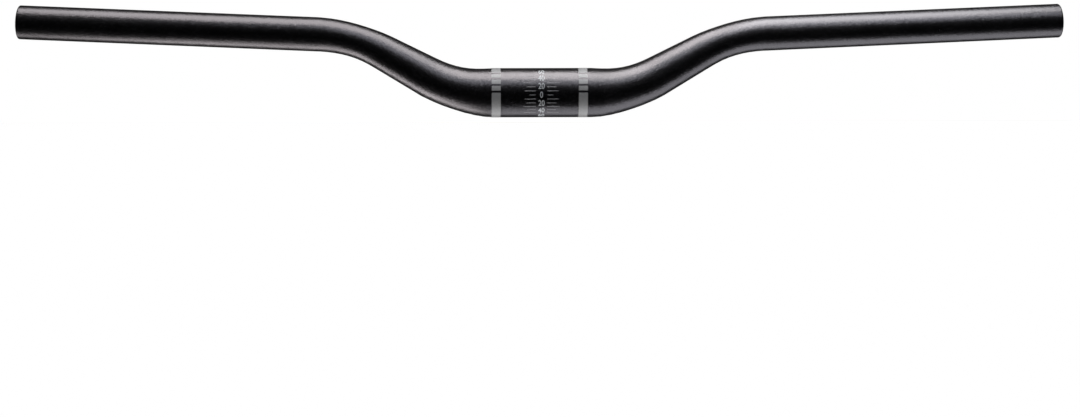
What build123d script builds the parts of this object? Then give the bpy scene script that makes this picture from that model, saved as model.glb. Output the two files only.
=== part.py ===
from build123d import *
import os
from itertools import accumulate
from math import cos, pi, radians, sin, tan

# Riser handlebar: one aluminium tube, swaged from a thick clamp down to slim grips, thicker walled in
# the middle than at the ends, and bent twice on each side. Lengths are in millimetres. The origin is
# the middle of the stem clamp, +X runs along the clamp, +Z is up and the ends sweep back towards +Y.

# Tube section
clamp_diameter = 31.8
waist_diameter = 26.8
grip_diameter = 22.2
clamp_wall = 2.6
grip_wall = 1.9

# Lengths along the bar
overall_width = 685.0
clamp_length = 58.0
steep_taper_length = 34.0
gentle_taper_length = 52.5
taper_easing = 5.0

# Bends: the first lifts the bar out of the clamp, the second turns it out towards the grips
rise = 37.0
first_bend_lead = 3.0
first_bend_radius = 87.5
second_bend_radius = 101.0
climb_angle = 28.5
climb_sweep = 5.9
grip_upsweep = 2.5
grip_backsweep = 9.0
bend_flattening = 0.027

# Open ends
end_rounding = 1.0
bore_chamfer = 0.5

# Number of sections that shape the bent and tapered stretch of one side
section_count = 48


def heading(climb, sweep):
    """The direction of a straight run that climbs and sweeps back by these angles."""
    level = cos(radians(climb))
    return Vector(level * cos(radians(sweep)), level * sin(radians(sweep)), sin(radians(climb)))


# Centre line of the right-hand side: straight out of the clamp, up the climb, then out along the grip
along_clamp = Vector(1, 0, 0)
along_climb = heading(climb_angle, climb_sweep)
along_grip = heading(grip_upsweep, grip_backsweep)
first_turn = along_clamp.get_angle(along_climb)
first_corner_x = clamp_length / 2 + first_bend_lead + first_bend_radius * tan(radians(first_turn / 2))
first_corner = along_clamp * first_corner_x
second_corner = first_corner + along_climb * (rise / along_climb.Z)
end_lean = radians(along_clamp.get_angle(along_grip))
end_rim = (grip_diameter / 2 - end_rounding) * sin(end_lean) + end_rounding * (1 - cos(end_lean))
end_x = overall_width / 2 - end_rim
end_centre = second_corner + along_grip * ((end_x - second_corner.X) / along_grip.X)

with BuildLine() as centre_line:
    FilletPolyline(
        Vector(0, 0, 0),
        first_corner,
        second_corner,
        end_centre,
        radius=[first_bend_radius, second_bend_radius],
    )
path = centre_line.wire()

# Distances along the bar from its middle
first_bend_start, first_bend_end, second_bend_start, second_bend_end, bar_end = accumulate(
    edge.length for edge in path.order_edges()
)
clamp_end = clamp_length / 2
taper_start = clamp_end + taper_easing
waist_distance = taper_start + steep_taper_length
taper_end = waist_distance + gentle_taper_length
grip_start = max(second_bend_end, taper_end + taper_easing)


def eased(past):
    """How far past a corner a taper has run, with the corner itself rounded off."""
    if past <= -taper_easing:
        return 0.0
    if past >= taper_easing:
        return past
    return (past + taper_easing) ** 2 / (4 * taper_easing)


def share(distance, start, end):
    """The share of a taper that lies before this distance, from 0 to 1."""
    return (eased(distance - start) - eased(distance - end)) / (end - start)


def outer_diameter(distance):
    steep = (clamp_diameter - waist_diameter) * share(distance, taper_start, waist_distance)
    gentle = (waist_diameter - grip_diameter) * share(distance, waist_distance, taper_end)
    return clamp_diameter - steep - gentle


def wall(distance):
    return clamp_wall - (clamp_wall - grip_wall) * share(distance, taper_start, taper_end)


def flattening(distance):
    """How much bending has flattened the tube here, as a share of its diameter."""
    for start, end in ((first_bend_start, first_bend_end), (second_bend_start, second_bend_end)):
        if start < distance < end:
            return bend_flattening * sin(pi * (distance - start) / (end - start)) ** 2
    return 0.0


def cross_plane(distance):
    """The plane across the tube at this distance, with its X direction level and facing back."""
    along = path.tangent_at(distance, position_mode=PositionMode.LENGTH)
    back = Vector(0, 1, 0) - along * along.Y
    return Plane(path.position_at(distance, position_mode=PositionMode.LENGTH), back, along)


with BuildPart() as handlebar:
    # Round tube in the stem clamp
    with BuildSketch(Plane.YZ):
        Circle(clamp_diameter / 2)
        Circle(clamp_diameter / 2 - clamp_wall, mode=Mode.SUBTRACT)
    extrude(amount=clamp_end, both=True)

    # Bent and tapered stretch of the right-hand side
    bent_length = grip_start - clamp_end
    for number in range(section_count):
        station = clamp_end + bent_length * number / (section_count - 1)
        radius = outer_diameter(station) / 2
        deep = radius * (1 + flattening(station))
        high = radius * (1 - flattening(station))
        with BuildSketch(cross_plane(station)):
            Ellipse(deep, high)
            Ellipse(deep - wall(station), high - wall(station), mode=Mode.SUBTRACT)
    loft()

    # Straight round tube of the right-hand grip, with its open end
    with BuildSketch(cross_plane(grip_start)):
        Circle(grip_diameter / 2)
        Circle(grip_diameter / 2 - grip_wall, mode=Mode.SUBTRACT)
    extrude(amount=bar_end - grip_start)
    end_edges = faces().sort_by(Axis.X)[-1].edges().sort_by(SortBy.LENGTH)
    chamfer(end_edges[0], bore_chamfer)
    fillet(end_edges[1], end_rounding)

    # Left-hand side
    mirror(about=Plane.YZ)

handlebar.part.label = "handlebar"
os.makedirs("parts", exist_ok=True)
export_step(handlebar.part, "parts/handlebar.step")
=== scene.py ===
"""Riser handlebar: a satin black tube with silver print round its clamp, among long soft lights."""

import math

import bpy
from mathutils import Matrix, Vector


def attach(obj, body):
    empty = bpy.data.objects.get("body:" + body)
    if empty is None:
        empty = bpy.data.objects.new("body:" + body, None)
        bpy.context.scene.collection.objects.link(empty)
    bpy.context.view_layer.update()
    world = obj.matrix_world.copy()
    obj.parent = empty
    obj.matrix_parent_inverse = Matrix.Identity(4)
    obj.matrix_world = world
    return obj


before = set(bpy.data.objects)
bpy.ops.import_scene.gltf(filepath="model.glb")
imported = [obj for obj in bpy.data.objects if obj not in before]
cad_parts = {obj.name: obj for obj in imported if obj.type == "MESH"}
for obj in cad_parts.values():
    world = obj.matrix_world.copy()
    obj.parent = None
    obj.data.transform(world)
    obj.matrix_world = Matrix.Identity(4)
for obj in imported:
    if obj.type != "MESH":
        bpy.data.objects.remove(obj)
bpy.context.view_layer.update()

MM = 0.001
MATHS = "ShaderNodeMath"
VECTOR_MATHS = "ShaderNodeVectorMath"

# The clamp and its print, which stands a hair proud of the tube and reaches a little into it
CLAMP_RADIUS = 15.9 * MM
PRINT_RISE = 0.03 * MM
PRINT_TOP = CLAMP_RADIUS + PRINT_RISE
PRINT_DEPTH = 0.16 * MM
SMOOTH_ANGLE = math.radians(30)

# Silver bands: rings round both sides of the clamp, cut by straight slots in the upper front. The middle
# between them lies slightly to the left of the bar's middle.
BANDS_ACROSS = -2.2 * MM
BAND_DISTANCE = 27.95 * MM
BAND_WIDTH = 5.8 * MM
BAND_STEPS = 360
SLOT_ANGLES = (2.5, 18.5, 34.5, 50.5)
SLOT_HALF_ANGLE = 2.5

# Angle scale: its middle faces a little below straight ahead, and lies slightly to the left. Ticks go up
# and down from there in pairs, at both sides of a column of numbers.
SCALE_ACROSS = -1.1 * MM
SCALE_MIDDLE = -5.4
TICK_STEP = 9.45
TICK_HEIGHT = 0.38 * MM
TICK_CORNER = 0.3 * TICK_HEIGHT
TICK_CORNER_STEPS = 2
TICK_START = 3.65 * MM
TICK_LENGTHS = (4.0 * MM, 7.3 * MM, 6.0 * MM, 8.1 * MM, 5.7 * MM, 7.6 * MM)
NUMBER_STEP = 20.4
NUMBERS = ("0", "20", "40", "60")
NUMBER_SIZE = 5.6 * MM
NUMBER_NARROWING = 0.74
NUMBER_WEIGHT = 0.07 * MM
NUMBER_STRIPS = 8
MERGE_DISTANCE = 0.001 * MM

# Satin black finish: dark grains and a few paler ones, how far a single blasted grain leans from the
# surface, and a sheen that varies over larger patches
BLACK_IOR = 2.05
BLACK_TINT = (1.0, 0.95, 0.98, 1.0)
BLACK_ROUGHNESS = (0.26, 0.32)
GRAIN_SCALE = 2200
GRAIN_STOPS = (0.72, 1.0)
GRAIN_COLOURS = ((0.0006, 0.0006, 0.0007, 1.0), (0.045, 0.043, 0.046, 1.0))
GRAIN_LEAN = 0.14
SHEEN_SCALE = 90
SHEEN_DETAIL = 3

# Inks of the print: each has its colour and the share by which its mottle goes darker and paler
INK_IOR = 1.75
INK_ROUGHNESS = (0.31, 0.41)
MOTTLE_SCALE = 1400
MOTTLE_DETAIL = 4
MOTTLE_STOPS = (0.25, 0.75)
SILVER_INK = ((0.335, 0.335, 0.33), 0.10)
GREY_INK = ((0.38, 0.38, 0.385), 0.08)
PALE_INK = ((0.57, 0.595, 0.60), 0.06)

# Stage, in metres: the floor, the distances between which it turns white, and the dark walls
FLOOR_SIZE = 60
FLOOR_HEIGHT = -0.25
FLOOR_GREY = 0.8
FLOOR_TURNS_WHITE = (2.0, 12.0)
WALL_RADIUS = 3.2
WALL_SUBDIVISIONS = 4
WALL_GREY = 0.002

# Soft lights: long panels that face the bar. Each has its angle up from straight ahead, its distance,
# half of its spread in degrees, its two ends along the bar, its brightness and its colour.
SOFT_LIGHTS = {
    "above_left": (88.4, 0.90, 22.1, -0.64, 0.12, 3.23, (1.0, 0.975, 0.988)),
    "above_right": (87.5, 0.90, 12.4, 0.14, 0.90, 1.34, (1.0, 1.0, 1.0)),
    "above_clamp": (83.5, 0.40, 24.3, -0.02, 0.07, 2.10, (1.0, 1.0, 1.0)),
    "above_climb": (77.3, 0.40, 25.8, 0.10, 0.24, 1.86, (0.97, 0.985, 1.0)),
    "above_grip": (88.6, 0.40, 23.9, 0.14, 0.44, 3.29, (0.95, 0.965, 1.0)),
    "in_front": (53.2, 0.90, 15.0, -0.38, 0.24, 1.06, (0.86, 0.90, 1.0)),
    "front_right": (53.9, 0.90, 14.4, 0.31, 0.82, 1.32, (0.86, 0.90, 1.0)),
    "below_left": (-109.3, 0.90, 8.7, -0.68, -0.07, 1.56, (1.0, 0.965, 0.975)),
    "below_climb": (-100.8, 0.40, 23.5, -0.38, -0.11, 1.19, (1.0, 0.965, 0.975)),
    "below_far": (-104.6, 1.70, 17.4, -1.59, -1.01, 2.24, (1.0, 0.965, 0.975)),
    "below_right": (-99.7, 0.90, 26.2, -0.05, 1.19, 1.27, (0.92, 0.935, 1.0)),
    "fill_below": (-85.0, 0.90, 30.0, -0.80, 0.80, 1.35, (1.0, 1.0, 1.0)),
}

# Photograph: image size and focal length in pixels, and the place of the clamp's middle in it. The camera's
# distance is in metres, and its turns are in degrees.
PHOTO_WIDTH = 1080
PHOTO_HEIGHT = 417
FOCAL_PIXELS = 3990
CLAMP_ACROSS = 542.85
CLAMP_DOWN = 92.65
CAMERA_DISTANCE = 2.576
CAMERA_AZIMUTH = -1.53
CAMERA_ROLL = -0.12
SENSOR_WIDTH = 36
FARTHEST_SEEN = 200


def new_material(name):
    """A material, with the inputs of its main shader and its node tree."""
    material = bpy.data.materials.new(name)
    material.use_nodes = True
    tree = material.node_tree
    return material, tree.nodes["Principled BSDF"].inputs, tree


def calculated(tree, kind, operation, *values):
    """The outputs of a new maths node, with a link or a fixed value at each of its inputs."""
    node = tree.nodes.new(kind)
    node.operation = operation
    for socket, value in zip(node.inputs, values):
        if isinstance(value, bpy.types.NodeSocket):
            tree.links.new(value, socket)
        else:
            socket.default_value = value
    return node.outputs


def object_place(tree):
    return tree.nodes.new("ShaderNodeTexCoord").outputs["Object"]


def noise(tree, place, scale, detail):
    node = tree.nodes.new("ShaderNodeTexNoise")
    node.inputs["Scale"].default_value = scale
    node.inputs["Detail"].default_value = detail
    tree.links.new(place, node.inputs["Vector"])
    return node.outputs["Fac"]


def two_colours(tree, value, stops, colours):
    """A change from one colour to the other as the value goes from the first stop to the second."""
    node = tree.nodes.new("ShaderNodeValToRGB")
    for element, stop, colour in zip(node.color_ramp.elements, stops, colours):
        element.position = stop
        element.color = colour
    tree.links.new(value, node.inputs["Fac"])
    return node.outputs["Color"]


def ranged(tree, value, given=(0.0, 1.0), wanted=(0.0, 1.0)):
    """The value, taken from the range that it is given in to the one that is wanted."""
    node = tree.nodes.new("ShaderNodeMapRange")
    for name, end in zip(("From Min", "From Max", "To Min", "To Max"), (*given, *wanted)):
        node.inputs[name].default_value = end
    tree.links.new(value, node.inputs["Value"])
    return node.outputs["Result"]


def satin_black():
    """Black anodised aluminium: blasted grains that each lean a little, some paler, under an uneven sheen."""
    material, shader, tree = new_material("satin_black")
    shader["IOR"].default_value = BLACK_IOR
    shader["Specular Tint"].default_value = BLACK_TINT
    place = object_place(tree)

    grains = tree.nodes.new("ShaderNodeTexVoronoi")
    grains.inputs["Scale"].default_value = GRAIN_SCALE
    tree.links.new(place, grains.inputs["Vector"])
    grain = grains.outputs["Color"]
    tree.links.new(two_colours(tree, grain, GRAIN_STOPS, GRAIN_COLOURS), shader["Base Color"])

    sheen = noise(tree, place, SHEEN_SCALE, SHEEN_DETAIL)
    tree.links.new(ranged(tree, sheen, wanted=BLACK_ROUGHNESS), shader["Roughness"])

    surface = tree.nodes.new("ShaderNodeNewGeometry").outputs["Normal"]
    lean = calculated(tree, VECTOR_MATHS, "SUBTRACT", grain, (0.5, 0.5, 0.5))["Vector"]
    leaning = calculated(tree, VECTOR_MATHS, "MULTIPLY_ADD", lean, (GRAIN_LEAN,) * 3, surface)["Vector"]
    facing = calculated(tree, VECTOR_MATHS, "NORMALIZE", leaning)["Vector"]
    tree.links.new(facing, shader["Normal"])
    return material


def printed(name, colour, spread):
    """Flat screen print: slightly mottled ink with a dull surface."""
    material, shader, tree = new_material(name)
    shader["IOR"].default_value = INK_IOR
    mottle = noise(tree, object_place(tree), MOTTLE_SCALE, MOTTLE_DETAIL)
    darker = (*(part * (1 - spread) for part in colour), 1.0)
    paler = (*(part * (1 + spread) for part in colour), 1.0)
    tree.links.new(two_colours(tree, mottle, MOTTLE_STOPS, (darker, paler)), shader["Base Color"])
    tree.links.new(ranged(tree, mottle, wanted=INK_ROUGHNESS), shader["Roughness"])
    return material


def dull(name, grey):
    """A paint of one grey without any gloss."""
    material, shader, tree = new_material(name)
    shader["Base Color"].default_value = (grey, grey, grey, 1.0)
    shader["Specular IOR Level"].default_value = 0.0
    return material, shader, tree


def start(piece=None):
    """Only this piece selected and active, or nothing, so that the next operator acts on it alone."""
    if bpy.context.object and bpy.context.object.mode != "OBJECT":
        bpy.ops.object.mode_set(mode="OBJECT")
    bpy.ops.object.select_all(action="DESELECT")
    if piece:
        piece.select_set(True)
        bpy.context.view_layer.objects.active = piece


def pick_none():
    """No part of the active mesh selected, so that some of its faces or edges can be picked."""
    bpy.ops.object.mode_set(mode="EDIT")
    bpy.ops.mesh.select_all(action="DESELECT")
    bpy.ops.object.mode_set(mode="OBJECT")


def apply_place():
    bpy.ops.object.transform_apply(location=True, rotation=True, scale=True)


def apply_modifier(piece, kind, **settings):
    modifier = piece.modifiers.new(kind.lower(), kind)
    for name, value in settings.items():
        setattr(modifier, name, value)
    bpy.ops.object.modifier_apply(modifier=modifier.name)


def give_depth(piece):
    """The thickness of print, inwards from its outer face, which is then shaded smoothly round the tube."""
    start(piece)
    apply_modifier(piece, "SOLIDIFY", thickness=PRINT_DEPTH, offset=-1.0)
    bpy.ops.object.shade_smooth_by_angle(angle=SMOOTH_ANGLE)


def copied(piece, across=0.0, up=0.0):
    """A copy with its own mesh, moved along the bar and turned up round the clamp."""
    start(piece)
    bpy.ops.object.duplicate()
    copy = bpy.context.object
    copy.location.x = across
    copy.rotation_euler.x = -math.radians(up)
    apply_place()
    return copy


def joined(name, parts):
    start()
    for part in parts:
        part.select_set(True)
    bpy.context.view_layer.objects.active = parts[0]
    bpy.ops.object.join()
    whole = bpy.context.object
    whole.name = name
    return whole


def both_ways(row):
    """The rows of the scale that share a tick or a number: one above the middle and one below."""
    return (row, -row) if row else (0,)


def clamp_sleeve(middle, width):
    """A bare tube round the clamp, at the height of the print's outer face."""
    start()
    bpy.ops.mesh.primitive_cylinder_add(
        vertices=BAND_STEPS,
        radius=PRINT_TOP,
        depth=width,
        end_fill_type="NOTHING",
        location=(middle, 0, 0),
        rotation=(0, math.pi / 2, 0),
    )
    apply_place()
    return bpy.context.object


def silver_band():
    """The band to the right of the scale: a sleeve with its slots cut out, then given its depth."""
    band = clamp_sleeve(BANDS_ACROSS + BAND_DISTANCE, BAND_WIDTH)
    pick_none()
    for face in band.data.polygons:
        up = math.degrees(math.atan2(face.center.z, -face.center.y))
        face.select = any(abs(up - slot) < SLOT_HALF_ANGLE for slot in SLOT_ANGLES)
    bpy.ops.object.mode_set(mode="EDIT")
    bpy.ops.mesh.delete(type="FACE")
    bpy.ops.object.mode_set(mode="OBJECT")
    give_depth(band)
    return band


def tick(length):
    """One line to the right of the numbers, straight ahead: a thin bar with rounded corners."""
    start()
    bpy.ops.mesh.primitive_cube_add(
        size=1.0,
        location=(SCALE_ACROSS + TICK_START + length / 2, -(PRINT_TOP - PRINT_DEPTH / 2), 0),
        scale=(length, PRINT_DEPTH, TICK_HEIGHT),
    )
    apply_place()
    bar = bpy.context.object
    pick_none()
    for edge in bar.data.edges:
        first, second = (bar.data.vertices[index].co for index in edge.vertices)
        edge.select = abs(first.y - second.y) > PRINT_DEPTH / 2
    bpy.ops.object.mode_set(mode="EDIT")
    bpy.ops.mesh.bevel(offset=TICK_CORNER, segments=TICK_CORNER_STEPS)
    bpy.ops.object.mode_set(mode="OBJECT")
    return bar


def angle_ticks():
    """Every tick of the scale, with its twin at the other side of the numbers."""
    bars = []
    for row, length in enumerate(TICK_LENGTHS):
        bar = tick(length)
        for place in both_ways(row):
            up = SCALE_MIDDLE + place * TICK_STEP
            bars.append(copied(bar, 0.0, up))
            bars.append(copied(bar, -2 * TICK_START - length, up))
        bpy.data.objects.remove(bar)
    return joined("angle_ticks", bars)


def number(text, sleeve):
    """One number, straight ahead: flat text cut into level strips, laid on the tube and given its depth."""
    start()
    bpy.ops.object.text_add(rotation=(math.pi / 2, 0, 0), location=(SCALE_ACROSS, -2 * PRINT_TOP, 0))
    words = bpy.context.object
    words.data.body = text
    words.data.size = NUMBER_SIZE
    words.data.offset = NUMBER_WEIGHT
    words.data.align_x = "CENTER"
    words.data.align_y = "CENTER"
    bpy.ops.object.convert(target="MESH")
    figure = bpy.context.object
    figure.scale.x = NUMBER_NARROWING
    apply_place()
    bpy.ops.object.mode_set(mode="EDIT")
    bpy.ops.mesh.select_all(action="SELECT")
    bpy.ops.mesh.remove_doubles(threshold=MERGE_DISTANCE)
    bpy.ops.mesh.beautify_fill(angle_limit=math.pi)
    for strip in range(-NUMBER_STRIPS, NUMBER_STRIPS + 1):
        bpy.ops.mesh.select_all(action="SELECT")
        height = NUMBER_SIZE / 2 * strip / NUMBER_STRIPS
        bpy.ops.mesh.bisect(plane_co=(0, 0, height), plane_no=(0, 0, 1))
    bpy.ops.object.mode_set(mode="OBJECT")
    apply_modifier(figure, "SHRINKWRAP", target=sleeve, wrap_method="PROJECT", use_project_y=True)
    give_depth(figure)
    return figure


def angle_numbers():
    """Every number of the scale, laid on a sleeve that is taken away again."""
    figures = []
    sleeve = clamp_sleeve(SCALE_ACROSS, 4 * TICK_START)
    for row, text in enumerate(NUMBERS):
        figure = number(text, sleeve)
        for place in both_ways(row):
            figures.append(copied(figure, 0.0, SCALE_MIDDLE + place * NUMBER_STEP))
        bpy.data.objects.remove(figure)
    bpy.data.objects.remove(sleeve)
    return joined("angle_numbers", figures)


def dress(piece, material):
    """One material for the piece, which goes with the bar's only body."""
    piece.data.materials.clear()
    piece.data.materials.append(material)
    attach(piece, "root")


def soft_light(name, up, distance, half_spread, left, right, brightness, colour):
    """A panel along the bar that faces it. Its brightness is that of its surface, whatever its size."""
    turn = math.radians(up)
    lamp = bpy.data.lights.new(name, "AREA")
    lamp.shape = "RECTANGLE"
    lamp.size = right - left
    lamp.size_y = 2 * distance * math.tan(math.radians(half_spread))
    lamp.energy = brightness * math.pi * lamp.size * lamp.size_y
    lamp.color = colour
    panel = bpy.data.objects.new(name, lamp)
    bpy.context.scene.collection.objects.link(panel)
    panel.location = Vector((0, -math.cos(turn), math.sin(turn))) * distance
    panel.location.x = (left + right) / 2
    panel.rotation_euler.x = math.pi / 2 - turn


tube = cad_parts["handlebar"]
tube.data.materials.clear()
tube.data.materials.append(satin_black())

silver = printed("silver_ink", *SILVER_INK)
grey = printed("grey_ink", *GREY_INK)
pale = printed("pale_ink", *PALE_INK)
band_right = silver_band()
band_right.name = "band_right"
band_left = copied(band_right, -2 * BAND_DISTANCE)
band_left.name = "band_left"
dress(band_right, silver)
dress(band_left, silver)
dress(angle_ticks(), grey)
dress(angle_numbers(), pale)

# Floor, well below the bar, which takes its shadow and is otherwise as white as the background. Far away it
# shines as white as the background itself, so that its edge isn't seen.
start()
bpy.ops.mesh.primitive_plane_add(size=FLOOR_SIZE, location=(0, 0, FLOOR_HEIGHT))
floor = bpy.context.object
floor.name = "floor"
floor.is_shadow_catcher = True
floor.visible_shadow = False
floor.visible_diffuse = False
floor.visible_glossy = False
floor_paint, floor_shader, floor_tree = dull("pale_floor", FLOOR_GREY)
floor_shader["Emission Color"].default_value = (1.0, 1.0, 1.0, 1.0)
away = calculated(floor_tree, VECTOR_MATHS, "LENGTH", object_place(floor_tree))["Value"]
far = ranged(floor_tree, away, given=FLOOR_TURNS_WHITE)
in_picture = floor_tree.nodes.new("ShaderNodeLightPath").outputs["Is Camera Ray"]
shine = calculated(floor_tree, MATHS, "MULTIPLY", far, in_picture)["Value"]
floor_tree.links.new(shine, floor_shader["Emission Strength"])
floor_paint.cycles.emission_sampling = "NONE"
floor.data.materials.append(floor_paint)

# Dark walls, seen only in reflections, that keep the satin tube black between the lights
start()
bpy.ops.mesh.primitive_ico_sphere_add(subdivisions=WALL_SUBDIVISIONS, radius=WALL_RADIUS)
walls = bpy.context.object
walls.name = "dark_walls"
walls.visible_camera = False
walls.visible_diffuse = False
walls.visible_shadow = False
walls.data.materials.append(dull("dark_wall", WALL_GREY)[0])

# The fill is left out of reflections, and so lifts only the print
for name, settings in SOFT_LIGHTS.items():
    soft_light(name, *settings)
bpy.data.objects["fill_below"].visible_glossy = False

# White background. Reflections in the bar meet the dark walls before it, and it puts no light on the bar.
world = bpy.data.worlds.new("white_studio")
bpy.context.scene.world = world
world.use_nodes = True
sky = world.node_tree.nodes["Background"].inputs
sky["Color"].default_value = (1.0, 1.0, 1.0, 1.0)
rays = world.node_tree.nodes.new("ShaderNodeLightPath").outputs
glossy = rays["Is Glossy Ray"]
through = rays["Is Transmission Ray"]
mirrored = calculated(world.node_tree, MATHS, "MAXIMUM", glossy, through)["Value"]
seen = calculated(world.node_tree, MATHS, "MAXIMUM", rays["Is Camera Ray"], mirrored)["Value"]
world.node_tree.links.new(seen, sky["Strength"])

# Camera level with the clamp, a touch to the left, tilted down so that the bar lies high in the picture
lens = bpy.data.cameras.new("camera")
lens.sensor_width = SENSOR_WIDTH
lens.sensor_fit = "HORIZONTAL"
lens.lens = FOCAL_PIXELS / PHOTO_WIDTH * lens.sensor_width
lens.clip_end = FARTHEST_SEEN
camera = bpy.data.objects.new("camera", lens)
bpy.context.scene.collection.objects.link(camera)
azimuth = math.radians(CAMERA_AZIMUTH)
pan = math.atan((CLAMP_ACROSS - PHOTO_WIDTH / 2) / FOCAL_PIXELS)
tilt = math.atan((PHOTO_HEIGHT / 2 - CLAMP_DOWN) / FOCAL_PIXELS)
camera.location = Vector((math.sin(azimuth), -math.cos(azimuth), 0)) * CAMERA_DISTANCE
aim = Matrix.Rotation(azimuth + pan, 3, "Z") @ Matrix.Rotation(math.pi / 2 - tilt, 3, "X")
camera.rotation_euler = (aim @ Matrix.Rotation(math.radians(CAMERA_ROLL), 3, "Z")).to_euler()
bpy.context.scene.camera = camera
bpy.context.scene.view_settings.view_transform = "Standard"
